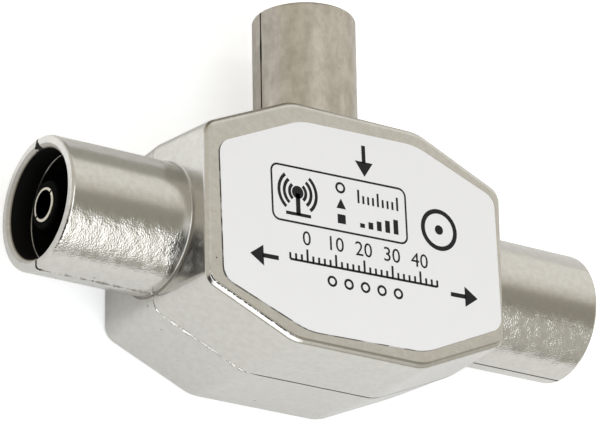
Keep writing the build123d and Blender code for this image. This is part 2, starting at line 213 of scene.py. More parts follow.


# %% [markdown]
# Shade is painted in as near black: inside the bores and in chips at the left mouth, in the groove of
# the seam, in a gap of the plug's seam, where the seam meets the mouths, and in a broken crease along
# the lower left edge of the front. Scattered dark specks of dirt take the same colour. Each place has
# its own mask, and the strongest one counts.

# %% Painted shade and dark specks
def painted_shade_and_specks(tree, far, chips, cloud, specks):
    """Share of painted near-black shade and of dark specks: the strongest of the masks below."""
    chipped = where(tree, (chips, 0.34, 0.5), (far["seam"], 0.65, 0.1), (far["y"], 0.0, 1.0),
                    (far["x"], 0.0, -1.0))
    bore_edge = add(tree, "Math", {0: chipped, 1: chip_deep_mm, 2: socket_bore + 0.1},
                    operation="MULTIPLY_ADD")
    depth_in = add(tree, "Math", {0: far["socket axis"], 1: bore_edge}, operation="SUBTRACT")
    from_step = away_from(tree, far["reach"], socket_reach - relief_depth)
    from_gap = away_from(tree, far["y"], plug_gap_y)
    from_crease = away_from(tree, far["z"], front_z - crease_below_mm)
    in_groove = (far["seam"], seam_dark_mm, 0.6 * seam_dark_mm)
    # All but the specks are painted shade.
    places = {
        "socket bores": where(tree, (depth_in, 0.02, 0.0), (far["reach"], side_wall_x - 0.2, side_wall_x),
                              (from_step, 0.02, 0.05)),
        "plug bore": where(tree, (far["plug axis"], plug_bore + 0.1, plug_bore + 0.04),
                           (far["y"], end_wall_y, end_wall_y + 1.0)),
        "seam below": where(tree, in_groove, (far["x"], seam_shade_start_x, seam_shade_start_x + 2.0)),
        "seam of the plug": where(tree, in_groove, (far["y"], end_wall_y - 1.0, end_wall_y)),
        "flash": where(tree, (far["seam"], 0.035, 0.015), (chips, 0.45, 0.5)),
        "gap in the plug": where(tree, (far["seam"], 0.2, 0.1), (from_gap, 1.9, 0.5), (far["x"], 0.0, -1.0)),
        "seam at the mouths": where(tree, (far["seam"], 0.16, 0.1),
                                    (far["reach"], socket_reach - 0.6, socket_reach - 0.45)),
        "crease": where(tree, (from_crease, crease_half_mm, 0.3 * crease_half_mm), (chips, 0.42, 0.5),
                        (far["y"], -5.0, -7.0), (far["x"], -6.5, -7.5)),
        "specks": where(tree, (specks, 0.05, 0.025), (cloud, 0.5, 0.6)),
    }
    return strongest(tree, places.values())


print("step inside each mouth at", round(socket_reach - relief_depth, 3), "mm from the middle")

# %% [markdown]
# The plate itself is a warm light grey with cloudy patches half a millimetre wide. The plug has been
# pushed into sockets and has brown stains drawn out along it, and is painted a little darker as shade.
# Painted shade also darkens the roots of the sockets and thin lines on the far edges, the plug's end
# and the mouths' inner edges, where it dulls their highlights. Each tinge multiplies the tone below it.

# %% Tone of the plating
def plating_tone(tree, place, far, cloud, on_plug, at_root):
    """Cloudy grey, multiplied by stains and painted shade on the plug,
    and by painted shade at the roots and on a few edges.
    """
    plate = add(tree, "Mix", {"Factor": where(tree, (cloud, 0.3, 0.7)), "A": linear("d6d5d1"),
                              "B": linear("cfcdc8")}, data_type="RGBA")
    # Brown stains along the plug; their tint also paints the whole plug a little darker, as shade.
    along = add(tree, "Mapping", {"Vector": place, "Scale": (1.0, 0.5, 1.0)})
    rubbed = add(tree, "TexNoise", {"Vector": along, "Scale": 1 / stain_mm, "Detail": 4.0, "Roughness": 0.65})
    stain_and_shade = add(tree, "Mix", {"Factor": where(tree, (rubbed, 0.3, 0.7)), "A": linear("fdf8f2"),
                              "B": linear("e2dcd4")}, data_type="RGBA")
    # Painted shade: thin dark lines on the far edges, the plug's end and the mouths' inner edges.
    from_face = away_from(tree, far["z"], front_z - 0.24)
    far_edge = where(tree, (from_face, 0.16, 0.08), (far["y"], 6.0, 7.5))
    plug_edge = where(tree, (far["y"], plug_reach - 0.16, plug_reach - 0.06))
    mouth_edge = where(tree, (far["socket axis"], 5.03, 4.95),
                       (far["reach"], socket_reach - 0.45, socket_reach - 0.35))
    shaded_edges = strongest(tree, (far_edge, plug_edge, mouth_edge))
    # Stains with painted shade on the plug, painted shade at the roots and on those edges.
    for share, tinge in ((on_plug, stain_and_shade), (at_root, linear("b3afaa")), (shaded_edges, linear("bcb3a6"))):
        plate = add(tree, "Mix", {"Factor": share, "A": plate, "B": tinge}, data_type="RGBA",
                    blend_type="MULTIPLY")
    return plate


print("stains", stain_mm, "mm wide and twice as long")

# %% [markdown]
# Roughness and height make the satin. The whole skin has low pebbles, which only blur what it
# shows. On the near side of the sockets they are ten times as high, and the plate there is glossier,
# so that each pebble shows its own small picture of the lamp. Patches and slow ripples keep this
# from looking like a pattern.

# %% Gloss and skin
def plating_gloss(tree, far, cloud, dark, near_side, on_plug, at_root):
    """Satin roughness: less on the near side, more on the plug, roots, mouth bevels and painted shade."""
    rough = add(tree, "MapRange", {0: cloud, 1: 0.3, 2: 0.7, 3: 0.19, 4: 0.23})
    bevel = where(tree, (far["socket axis"], mouth_outer + 0.05, mouth_outer),
                  (far["reach"], socket_reach - 0.4, socket_reach - 0.36))
    bevel_and_shade = strongest(tree, (bevel, dark))
    for share, change in ((near_side, -0.06), (on_plug, 0.12), (at_root, 0.25), (bevel_and_shade, 0.4)):
        rough = add(tree, "Math", {0: share, 1: change, 2: rough}, operation="MULTIPLY_ADD")
    return rough


def cast_skin(tree, place, near_side):
    """Normal of the skin: slow ripples, and on them half noise and half grains, as high as
    (0.1 away from the near side, 1 on it) * (0.5 to 1.4 from patch to patch)."""
    pebble = add(tree, "TexNoise", {"Vector": place, "Scale": 1 / pebble_mm, "Detail": 2.0, "Roughness": 0.6})
    grains = add(tree, "TexVoronoi", {"Vector": place, "Scale": 1 / grain_mm})
    pebble = add(tree, "Mix", {"Factor": 0.5, "A": pebble, "B": grains})
    height = add(tree, "MapRange", {0: near_side, 3: 0.1, 4: 1.0})
    patches = add(tree, "TexNoise", {"Vector": place, "Scale": 1 / patch_mm, "Detail": 1.0})
    uneven = add(tree, "MapRange", {0: patches, 1: 0.35, 2: 0.65, 3: 0.5, 4: 1.4})
    height = add(tree, "Math", {0: height, 1: uneven}, operation="MULTIPLY")
    skin = add(tree, "Math", {0: pebble, 1: height}, operation="MULTIPLY")
    ripple = add(tree, "TexNoise", {"Vector": place, "Scale": 1 / ripple_mm, "Detail": 1.0})
    waves = add(tree, "Bump", {"Height": ripple, "Distance": ripple_high_mm * MM, "Strength": 1.0})
    return add(tree, "Bump", {"Height": skin, "Distance": pebble_high_mm * MM, "Strength": 1.0,
                              "Normal": waves})


print("pebbles up to", round(1.4 * pebble_high_mm, 3), "mm high")

# %% [markdown]
# The casting's material brings these together. Two masks serve both tone and gloss: the plug, and the
# rounded roots of the sockets. A third, the near side of the sockets, serves gloss and skin. Where
# shade is painted near black, the metallic value drops too, so that no reflection brightens it.

# %% Nickel-plated zinc casting
def nickel_casting():
    """Die-cast zinc, nickel plated: satin grey, painted shade in seams and bores, a glinting near side."""
    material, tree, place = start_material("nickel_plated_zinc_casting")
    far = casting_distances(tree, place)
    chips = add(tree, "TexNoise", {"Vector": place, "Scale": 1 / chip_mm, "Detail": 2.0})
    cloud = add(tree, "TexNoise", {"Vector": place, "Scale": 1 / mottle_mm, "Detail": 4.0, "Roughness": 0.6})
    specks = add(tree, "TexVoronoi", {"Vector": place, "Scale": 1 / speck_mm})
    dark = painted_shade_and_specks(tree, far, chips, cloud, specks)

    on_plug = where(tree, (far["y"], end_wall_y + 0.3, end_wall_y + 1.2))
    # Painted shade at the roots, where the sockets grow out of the box.
    root_edge = socket_radius + root_round
    at_root = where(tree, (far["socket axis"], socket_radius + 0.003, socket_radius + 0.015),
                    (far["socket axis"], root_edge + 0.02, root_edge - 0.01),
                    (far["reach"], side_wall_x - 0.4, side_wall_x - 0.3), (far["y"], 4.0, 0.0))
    near_side = where(tree, (far["y"], -1.2, -3.1), (far["z"], parting_z + 1.2, parting_z + 4.2),
                      (far["reach"], side_wall_x, side_wall_x + 0.6))

    plate = plating_tone(tree, place, far, cloud, on_plug, at_root)
    # Painted shade, and the dark specks: near black where their mask is 1.
    colour = add(tree, "Mix", {"Factor": dark, "A": plate, "B": linear("0b0908")}, data_type="RGBA")
    metal = add(tree, "Math", {0: 1.0, 1: dark}, operation="SUBTRACT")
    rough = plating_gloss(tree, far, cloud, dark, near_side, on_plug, at_root)
    skin = cast_skin(tree, place, near_side)
    return finish_material(material, tree, {"Base Color": colour, "Metallic": metal, "Roughness": rough,
                                            "Specular IOR Level": 0.3, "Normal": skin})


def dress(material, *names):
    """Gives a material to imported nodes."""
    for name in names:
        nodes[name].data.materials.clear()
        nodes[name].data.materials.append(material)


casting = nickel_casting()
dress(casting, "front_shell", "rear_shell")

# %% [markdown]
# The label is a printed plastic film. Its top is white, smooth and a little glossy, with a faint
# unevenness from the glue below. Its cut edge is painted dark as shade, broken here and there, and
# reads as a thin dark line along the left and lower sides.

# %% White label film
def label_film():
    """Vinyl film, printed white: nearly even, with painted shade, dark and broken, on its cut edge."""
    material, tree, place = start_material("white_vinyl_film")
    height = add(tree, "SeparateXYZ", {0: place}).node.outputs[2]
    tone = add(tree, "TexNoise", {"Vector": place, "Scale": 1 / 4.0, "Detail": 2.0})
    face = add(tree, "Mix", {"Factor": tone, "A": linear("f3f4f8"), "B": linear("f5f6fa")}, data_type="RGBA")
    glue_and_shade_breaks = add(tree, "TexNoise", {"Vector": place, "Scale": 1 / 1.6, "Detail": 3.0})
    # Painted shade: the film's cut edge, below its top, turns dark, with breaks.
    side = where(tree, (height, label_top - 0.01, label_top - 0.03), (glue_and_shade_breaks, 0.35, 0.5))
    colour = add(tree, "Mix", {"Factor": side, "A": face, "B": linear("3a362f")}, data_type="RGBA")
    bump = add(tree, "Bump", {"Height": glue_and_shade_breaks, "Distance": 0.006 * MM, "Strength": 1.0})
    return finish_material(material, tree, {"Base Color": colour, "Roughness": 0.42, "Normal": bump})


dress(label_film(), "label")

# %% [markdown]
# Now the small pieces inside and in the mouths. Most are hidden in the closed box, but they are
# finished too, each for what it is made of. The insulators are black moulded nylon, and the contacts
# are plated brass. Their ends show in the mouths of the ports.

# %% Insulators and contacts
def black_moulding():
    """Glass-filled nylon, moulded: near black, slightly uneven, with a soft sheen."""
    material, tree, place = start_material("black_moulded_nylon")
    grain = add(tree, "TexNoise", {"Vector": place, "Scale": 1 / 0.3, "Detail": 3.0})
    colour = add(tree, "Mix", {"Factor": grain, "A": linear("020202"), "B": linear("040404")},
                 data_type="RGBA")
    bump = add(tree, "Bump", {"Height": grain, "Distance": 0.01 * MM, "Strength": 1.0})
    return finish_material(material, tree, {"Base Color": colour, "Roughness": 0.7,
                                            "Specular IOR Level": 0.04, "Normal": bump})


def plated_brass():
    """Nickel-plated brass, turned and rolled: bright, with fine tool rings, and painted shade in the bore."""
    material, tree, place = start_material("nickel_plated_brass")
    rings = add(tree, "TexNoise", {"Vector": place, "Scale": 1 / 0.15, "Detail": 2.0})
    rough = add(tree, "MapRange", {"Value": rings, "To Min": 0.16, "To Max": 0.34})
    tone = add(tree, "Mix", {"Factor": rings, "A": linear("e0dccf"), "B": linear("d0c9b8")}, data_type="RGBA")
    far = casting_distances(tree, place)
    # Painted shade: near black inside the contact's bore.
    painted_bore_shade = where(tree, (far["socket axis"], contact_bore + 0.06, contact_bore + 0.03))
    tone = add(tree, "Mix", {"Factor": painted_bore_shade, "A": tone, "B": linear("1c1916")}, data_type="RGBA")
    bump = add(tree, "Bump", {"Height": rings, "Distance": 0.004 * MM, "Strength": 1.0})
    return finish_material(material, tree, {"Base Color": tone, "Metallic": 1.0, "Roughness": rough,
                                            "Normal": bump})


dress(black_moulding(), "out_right_insulator", "out_left_insulator", "in_insulator")
dress(plated_brass(), "out_right_contact", "out_left_contact", "in_pin")

# %% [markdown]
# The board is brown phenolic paper. Its fibres run one way, so the noise is stretched along them.
# The solder froze from a melt, which leaves a wavy skin and an uneven gloss.

# %% Board and solder
def paper_laminate():
    """Phenolic paper board: brown, dull, with short fibres that run one way."""
    material, tree, place = start_material("phenolic_paper_laminate")
    along = add(tree, "Mapping", {"Vector": place, "Scale": (0.4, 4.0, 1.0)})
    fibres = add(tree, "TexNoise", {"Vector": along, "Scale": 1 / 0.8, "Detail": 4.0})
    colour = add(tree, "Mix", {"Factor": fibres, "A": linear("8a6a36"), "B": linear("a8874f")},
                 data_type="RGBA")
    bump = add(tree, "Bump", {"Height": fibres, "Distance": 0.01 * MM, "Strength": 1.0})
    return finish_material(material, tree, {"Base Color": colour, "Roughness": 0.55, "Normal": bump})


def tin_solder():
    """Tin solder, set from a melt: bright grey with a slightly frosted, wavy skin."""
    material, tree, place = start_material("tin_solder")
    frost = add(tree, "TexNoise", {"Vector": place, "Scale": 1 / 0.25, "Detail": 3.0})
    rough = add(tree, "MapRange", {"Value": frost, "To Min": 0.15, "To Max": 0.4})
    bump = add(tree, "Bump", {"Height": frost, "Distance": 0.03 * MM, "Strength": 1.0})
    return finish_material(material, tree, {"Base Color": linear("d2d3d4"), "Metallic": 1.0,
                                            "Roughness": rough, "Normal": bump})


dress(paper_laminate(), "circuit_board")
dress(tin_solder(), "out_right_solder", "out_left_solder", "in_solder")

# %% [markdown]
# Ferrite is pressed powder, fired like stoneware: dull, with pits that a cell pattern gives. The
# wire has clear enamel over its copper, and the principled surface has a coat for that.

# %% Ferrites and wire
def sintered_ferrite():
    """Manganese-zinc ferrite, pressed and fired: dark grey stone with fine pits."""
    material, tree, place = start_material("sintered_ferrite")
    pits = add(tree, "TexVoronoi", {"Vector": place, "Scale": 1 / 0.25})
    colour = add(tree, "Mix", {"Factor": where(tree, (pits, 0.0, 0.5)), "A": linear("232427"),
                               "B": linear("3a3b3e")}, data_type="RGBA")
    bump = add(tree, "Bump", {"Height": pits, "Distance": 0.01 * MM, "Strength": 1.0})
    return finish_material(material, tree, {"Base Color": colour, "Roughness": 0.6, "Normal": bump})


def enamelled_copper():
    """Copper wire under clear polyurethane enamel: orange-brown metal with a glossy coat."""
    material, tree, place = start_material("enamelled_copper_wire")
    drawn = add(tree, "TexNoise", {"Vector": place, "Scale": 1 / 0.4, "Detail": 2.0})
    colour = add(tree, "Mix", {"Factor": drawn, "A": linear("b5602c"), "B": linear("96481c")},
                 data_type="RGBA")
    return finish_material(material, tree, {"Base Color": colour, "Metallic": 1.0, "Roughness": 0.3,
                                            "Coat Weight": 0.6, "Coat Roughness": 0.1})


dress(sintered_ferrite(), "splitter_core", "matching_core")
dress(enamelled_copper(), "splitter_winding", "matching_winding")

# %% [markdown]
# The resistor carries colour bands, each a mask on the distance from its own place along the body.
# The capacitors are fired ceramic, and the earth clips are bronze strip with the lines of rolling.

# %% Resistor, capacitors and clips
def lacquered_resistor():
    """Film resistor: tan epoxy lacquer with colour bands, and tinned leads."""
    material, tree, place = start_material("lacquered_film_resistor")
    x = add(tree, "SeparateXYZ", {0: place}).node.outputs[0]
    body = linear("c8ab78")
    for centre, band in ((-0.9, "7a2a1c"), (-0.35, "1a1a1a"), (0.2, "b5521e"), (0.95, "b08a2e")):
        painted = where(tree, (away_from(tree, x, centre), 0.17, 0.14))
        body = add(tree, "Mix", {"Factor": painted, "A": body, "B": linear(band)}, data_type="RGBA")
    lead = where(tree, (add(tree, "Math", {0: x}, operation="ABSOLUTE"), 1.6, 1.62))
    speckle = add(tree, "TexNoise", {"Vector": place, "Scale": 1 / 0.3, "Detail": 2.0})
    colour = add(tree, "Mix", {"Factor": lead, "A": body, "B": linear("c9c8c4")}, data_type="RGBA")
    bump = add(tree, "Bump", {"Height": speckle, "Distance": 0.01 * MM, "Strength": 1.0})
    return finish_material(material, tree, {"Base Color": colour, "Metallic": lead, "Roughness": 0.3,
                                            "Normal": bump})


def chip_ceramic():
    """Chip capacitor: fired tan ceramic, with fine grain."""
    material, tree, place = start_material("fired_chip_ceramic")
    grain = add(tree, "TexNoise", {"Vector": place, "Scale": 1 / 0.12, "Detail": 2.0})
    colour = add(tree, "Mix", {"Factor": grain, "A": linear("a98c64"), "B": linear("bfa57e")},
                 data_type="RGBA")
    bump = add(tree, "Bump", {"Height": grain, "Distance": 0.004 * MM, "Strength": 1.0})
    return finish_material(material, tree, {"Base Color": colour, "Roughness": 0.5, "Normal": bump})


def spring_bronze():
    """Phosphor bronze strip, rolled: golden brown with rolling lines along its length."""
    material, tree, place = start_material("rolled_phosphor_bronze")
    along = add(tree, "Mapping", {"Vector": place, "Scale": (0.3, 5.0, 0.3)})
    lines = add(tree, "TexNoise", {"Vector": along, "Scale": 1 / 0.5, "Detail": 3.0})
    rough = add(tree, "MapRange", {"Value": lines, "To Min": 0.22, "To Max": 0.4})
    return finish_material(material, tree, {"Base Color": linear("c79a5b"), "Metallic": 1.0,
                                            "Roughness": rough})


dress(lacquered_resistor(), "isolation_resistor")
dress(chip_ceramic(), "input_capacitor", "out_left_capacitor", "out_right_capacitor")
dress(spring_bronze(), "earth_clip_left", "earth_clip_right")

# %% [markdown]
# New pieces are surfaces that numpy works out: a grid of points, numbered by row and column. One
# function turns such a grid into a closed mesh. A ring of points across, carried along a path, wraps
# round on itself; a path that ends is closed with a cap at each end.

# %% From a grid of points to a mesh
def grid_faces(rows, columns, wrap_rows):
    """Four-sided faces of a grid whose columns wrap round, and whose rows wrap if asked.
    Face (i, j) joins the points (i, j), (i+1, j), (i+1, j+1) and (i, j+1)."""
    i = np.arange(rows if wrap_rows else rows - 1)[:, None]
    j = np.arange(columns)[None, :]
    near, ahead = i * columns, ((i + 1) % rows) * columns
    right = (j + 1) % columns
    return np.stack([near + j, ahead + j, ahead + right, near + right], axis=-1).reshape(-1, 4)


def tube_mesh(rings, closed):
    """Points and faces of a tube: rings has shape (along, round, 3), in millimetres. Point j of
    ring i has the number i * round + j. An open tube gets its first and last ring as caps."""
    along, around = rings.shape[:2]
    faces = grid_faces(along, around, closed).tolist()
    if not closed:
        first = np.arange(around)
        faces += [first.tolist(), (first[::-1] + (along - 1) * around).tolist()]
    return rings.reshape(-1, 3), faces


def piece(name, parts, material):
    """One object from several (points, faces) parts; it sits at the origin and rides on the body."""
    points, faces, start = [], [], 0
    for part_points, part_faces in parts:
        points.append(part_points)
        faces += [[start + int(index) for index in face] for face in part_faces]
        start += len(part_points)
    mesh = bpy.data.meshes.new(name)
    mesh.from_pydata((np.concatenate(points) * MM).tolist(), [], faces)
    mesh.materials.append(material)
    mesh.validate()
    made = bpy.data.objects.new(name, mesh)
    bpy.context.scene.collection.objects.link(made)
    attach(made, "root")
    print(name, "has", len(mesh.vertices), "points and", len(mesh.polygons), "faces")
    return made


# %% [markdown]
# Where the halves meet, a casting has flash: metal that ran into the gap of the mould as a ragged
# blade thinner than paper. Here it is a four-sided strip that follows the outline at the parting
# plane. Most of it hides in the groove. Along the left socket and the lower left wall it stands out
# as a low ridge, whose sloping sides catch the light here and there. The outline that it follows is
# straight runs joined by round corners.

# %% Paths with round corners
def rounded_path(corners, radii, spacing):
    """Path through corners, each rounded with its radius. A corner's arc starts and ends at
    radius * tan(half the turn) from it, and runs round the centre on the corner's inner side."""
    corners = np.array(corners, float)
    runs = [corners[:1]]
    for before, corner, after, radius in zip(corners[:-2], corners[1:-1], corners[2:], radii):
        back, ahead = before - corner, after - corner
        back, ahead = back / np.linalg.norm(back), ahead / np.linalg.norm(ahead)
        half_open = np.arccos(np.clip(back @ ahead, -1, 1)) / 2
        centre = corner + (back + ahead) / np.linalg.norm(back + ahead) * radius / np.sin(half_open)
        start = corner + back * radius / np.tan(half_open) - centre
        sweep = np.pi - 2 * half_open
        turn = np.sign(start[1] * back[0] - start[0] * back[1])
        angles = turn * np.linspace(0, sweep, max(4, int(sweep * radius / spacing) + 2))
        cos, sin = np.cos(angles)[:, None], np.sin(angles)[:, None]
        side = np.array([-start[1], start[0]])
        runs.append(centre + cos * start + sin * side)
    runs.append(corners[-1:])
    points = np.concatenate(runs)
    gaps = np.linalg.norm(np.diff(points, axis=0), axis=1)
    travelled = np.concatenate([[0], np.cumsum(gaps)])
    even = np.arange(0, travelled[-1], spacing)
    return np.column_stack([np.interp(even, travelled, points[:, k]) for k in (0, 1)])


def outward(path):
    """Unit vectors square to a path, to its right: the direction (a, b) turns into (b, -a)."""
    ahead = np.gradient(path, axis=0)
    ahead /= np.linalg.norm(ahead, axis=1, keepdims=True)
    return np.column_stack([ahead[:, 1], -ahead[:, 0]])


bend = rounded_path([(0, 0), (2, 0), (2, 2)], (1.0,), 0.01)
print("two runs of 2 mm with a round corner of 1 mm:", round(0.01 * len(bend), 2), "mm")

# %% [markdown]
# The edge is ragged by chance, half of it slow along the seam and half quick. A painted texture could
# show this, but it would have no sides to catch the light. A fixed seed gives the same edge each time.

# %% Ragged strip
path_spacing = 0.09         # from one place on a path to the next
lowest_edge = -0.14         # the ragged edge stays between these, counted outwards from the outline
highest_edge = 0.13


def flash_strip(path, seed, depth, proud, spread, halves):
    """Four points across at each place: two held inside the groove at this depth, two out at a ragged
    edge, which lies at proud + spread * chance, between the lowest and the highest edge. Chance is
    half slow and half quick. The halves are half the thickness inside and at the edge."""
    random = np.random.default_rng(seed)
    coarse = np.convolve(random.normal(size=len(path) + 8), np.ones(9) / 3, "valid")
    ragged = proud + spread * (0.5 * coarse + 0.5 * random.normal(size=len(path)))
    ragged = np.clip(ragged, lowest_edge, highest_edge)
    square = outward(path)
    inner, outer = path - depth * square, path + ragged[:, None] * square
    flat = np.stack([inner, outer, outer, inner], axis=1)
    thick, thin = halves
    height = np.broadcast_to(parting_z + np.array([-thick, -thin, thin, thick]), flat.shape[:2])
    return tube_mesh(np.concatenate([flat, height[..., None]], axis=2), closed=False)


def mirrored(path):
    """The same run on the left side, still with the outside to its right."""
    return (path * (-1, 1))[::-1]


print("ragged edge between", lowest_edge, "and", highest_edge, "mm")

# %% [markdown]
# The seam runs round the box and along the three barrels. Six runs stay deep in the groove. The one
# at the upper left comes up nearly level with the wall, and three on the left are the ridge.

# %% Flash along the seam
low_y = box_shift_y - side_corner_y
high_y = box_shift_y + side_corner_y
top_y = box_shift_y + end_wall_y
bottom_y = box_shift_y - end_wall_y
root_y = socket_radius + root_round
mouth_stop = 0.3            # the flash ends this far behind a mouth
ridge_end_x = -6.5          # right of this the lower flash hides in the groove
upper_run = rounded_path([(side_wall_x, root_y), (side_wall_x, high_y), (end_corner_x, top_y),
                          (plug_radius + root_round, top_y)], (side_round, end_round), path_spacing)
lower_run = rounded_path([(-side_wall_x, -root_y), (-side_wall_x, low_y), (-end_corner_x, bottom_y),
                          (end_corner_x, bottom_y), (side_wall_x, low_y), (side_wall_x, -root_y)],
                         (side_round, end_round, end_round, side_round), path_spacing)
socket_upper_run = rounded_path([(socket_reach - mouth_stop, socket_radius),
                                 (side_wall_x + root_round, socket_radius)], (), path_spacing)
socket_lower_run = socket_upper_run[::-1] * (1, -1)
plug_run = rounded_path([(plug_radius, top_y + root_round), (plug_radius, plug_reach - mouth_stop)], (),
                        path_spacing)
hidden_runs = [upper_run, socket_upper_run, socket_lower_run, plug_run, mirrored(plug_run),
               lower_run[lower_run[:, 0] > ridge_end_x]]
ragged_runs = [mirrored(socket_upper_run), mirrored(socket_lower_run),
               lower_run[lower_run[:, 0] < ridge_end_x]]
strips = [flash_strip(run, seed, depth=0.2, proud=-0.1, spread=0.02, halves=(0.02, 0.02))
          for seed, run in enumerate(hidden_runs)]
strips.append(flash_strip(mirrored(upper_run), 9, depth=0.2, proud=-0.02, spread=0.02, halves=(0.05, 0.05)))
strips += [flash_strip(run, 10 + seed, depth=0.05, proud=0.05, spread=0.08, halves=(0.1, 0.015))
           for seed, run in enumerate(ragged_runs)]
piece("seam_flash", strips, casting)

# %% [markdown]
# The label's print is ink a hundredth of a millimetre thick. All marks are generic: a frame with an
# aerial and its waves, plain shapes, a socket seen from the front, arrows for the way that the signal
# runs, a scale of ticks and plain numbers. Each mark is a stroke: a flat four-sided strip along a
# path, with its own width at each point. Places on the label are given from its middle, in its own
# directions, and a turn of a little under two degrees puts them where the label lies.

# %% Label places and strokes
label_middle = np.array([0.4, 0.05])
label_turn = np.radians(1.7)
ink_mm = 0.012              # thickness of the ink
ink_sunk_mm = 0.005         # it reaches this far into the film, so that no gap can show


def on_label(flat, heights):
    """Label places (u, v) turned and moved to x = cx + u cos t - v sin t, y = cy + u sin t + v cos t."""
    turn = np.array([[np.cos(label_turn), -np.sin(label_turn)], [np.sin(label_turn), np.cos(label_turn)]])
    return np.concatenate([flat @ turn.T + label_middle, heights[..., None]], axis=-1)


def stroke(path, width, closed=False):
    """Strip along a path: its edges lie half a width to each side, its top stands a little proud."""
    path = np.array(path, float)
    if closed:
        ahead = np.roll(path, -1, 0) - np.roll(path, 1, 0)
    else:
        ahead = np.vstack([path[1:], path[-1:]]) - np.vstack([path[:1], path[:-1]])
    ahead /= np.linalg.norm(ahead, axis=1, keepdims=True)
    half = np.column_stack([ahead[:, 1], -ahead[:, 0]]) * (np.broadcast_to(width, len(path))[:, None] / 2)
    flat = np.stack([path + half, path - half, path - half, path + half], axis=1)
    rise = label_top + np.array([-ink_sunk_mm, -ink_sunk_mm, ink_mm, ink_mm])
    rise = np.broadcast_to(rise, flat.shape[:2])
    return tube_mesh(on_label(flat, rise), closed)


def arc(u, v, radius, first, last, count=24):
    """Points (u + r cos a, v + r sin a), with the angle a in degrees from the first to the last."""
    angle = np.radians(np.linspace(first, last, count))
    return np.column_stack([u + radius * np.cos(angle), v + radius * np.sin(angle)])


def circle(u, v, radius, width):
    """Closed round stroke; with a width of twice the radius it is a full dot."""
    return stroke(arc(u, v, radius, 360, 0, 49)[:-1], width, closed=True)


print("label turned by", round(float(np.degrees(label_turn)), 2), "degrees")

# %% [markdown]
# The marks themselves. Lines are about 0.2 mm wide, as a small printed label has them. The frame's
# path starts and ends in the middle of its lower side, where a closed stroke joins it up.

# %% Ink marks
line = 0.21
bold = 0.3
left_u, middle_u, right_u = -9.43, -2.33, 4.77
low_v, high_v = 0.07, 5.21
frame_corners = [(middle_u, low_v), (left_u, low_v), (left_u, high_v), (right_u, high_v), (right_u, low_v),
                 (middle_u + 0.03, low_v)]
frame_path = rounded_path(frame_corners, (0.7,) * 4, 0.1)
marks = [stroke(frame_path, 0.18, closed=True)]

mast_u, mast_v = -6.75, 2.8
marks.append(stroke([(mast_u, 0.8), (mast_u, mast_v)], 0.45))
marks.append(stroke([(mast_u - 1.3, 0.85), (mast_u + 1.3, 0.85)], bold))
marks.append(circle(mast_u, mast_v + 0.1, 0.3, 0.6))
for radius in (0.85, 1.4, 1.95):
    marks.append(stroke(arc(mast_u, mast_v + 0.1, radius, 50, -50), bold))
    marks.append(stroke(arc(mast_u, mast_v + 0.1, radius, 130, 230), bold))

marks.append(circle(-2.2, 4.15, 0.42, line))
marks.append(stroke([(-2.2, 2.2), (-2.2, 3.1)], (1.0, 0.06)))
marks.append(stroke([(-2.2, 1.65), (-2.2, 0.8)], 0.85))
for step in range(9):
    u = -0.3 + 0.52 * step
    marks.append(stroke([(u, 3.05), (u, 4.3 if step % 4 == 0 else 3.8)], line))
for step in range(5):
    u = 0.0 + 0.9 * step
    marks.append(stroke([(u, 0.8), (u, 1.2 + 0.24 * step)], 0.5))

ring_u, ring_v = 8.31, 2.04
marks.append(circle(ring_u, ring_v, 1.75, 0.42))
marks.append(circle(ring_u, ring_v, 0.22, 0.44))

for u, v, turn in ((0.47, 7.15, -90), (-10.47, -3.55, 180), (10.68, -3.83, 0)):
    way = np.array([np.cos(np.radians(turn)), np.sin(np.radians(turn))])
    middle = np.array([u, v])
    marks.append(stroke([middle - 1.45 * way, middle + 0.2 * way], 0.4))
    marks.append(stroke([middle + 0.1 * way, middle + 1.45 * way], (1.9, 0.04)))

scale_v = -3.4
scale_half = 7.8
for step in range(27):
    u = -scale_half + 0.6 * step
    tall = 1.15 if step % 5 == 3 else 0.6
    marks.append(stroke([(u, scale_v), (u, scale_v + tall)], line))
marks.append(stroke([(-scale_half, scale_v), (scale_half, scale_v)], line))
for step in range(5):
    marks.append(circle(-3.5 + 1.75 * step, -4.75, 0.4, line))
print(len(marks), "marks drawn as strokes")

# %% [markdown]
# The numbers above the scale come from the plain built-in font. The text becomes a mesh first, and
# then its points go to the label like those of the strokes.

# %% Plain numbers
def number_part(text, u, v, height):
    """Points and faces of plain digits, their middle at (u, v) on the label."""
    curve = bpy.data.curves.new("digits", "FONT")
    curve.body, curve.size = text, height * 1.4
    curve.align_x, curve.align_y = "CENTER", "CENTER"
    curve.extrude, curve.resolution_u = (ink_mm + ink_sunk_mm) / 2, 3
    maker = bpy.data.objects.new("digits", curve)
    mesh = bpy.data.meshes.new_from_object(maker)
    points = np.empty(len(mesh.vertices) * 3)
    mesh.vertices.foreach_get("co", points)
    points = points.reshape(-1, 3)
    faces = [list(face.vertices) for face in mesh.polygons]
    bpy.data.objects.remove(maker)
    bpy.data.curves.remove(curve)
    bpy.data.meshes.remove(mesh)
    middle = label_top + (ink_mm - ink_sunk_mm) / 2
    return on_label(points[:, :2] + (u, v), middle + points[:, 2]), faces


for index, text in enumerate(("0", "10", "20", "30", "40")):
    marks.append(number_part(text, -6.0 + 3.0 * index, -1.3, 1.35))

# %% [markdown]
# Printing ink is nearly black with a slight sheen, and a little thinner in places. The marks and
# numbers share it, and become one piece.

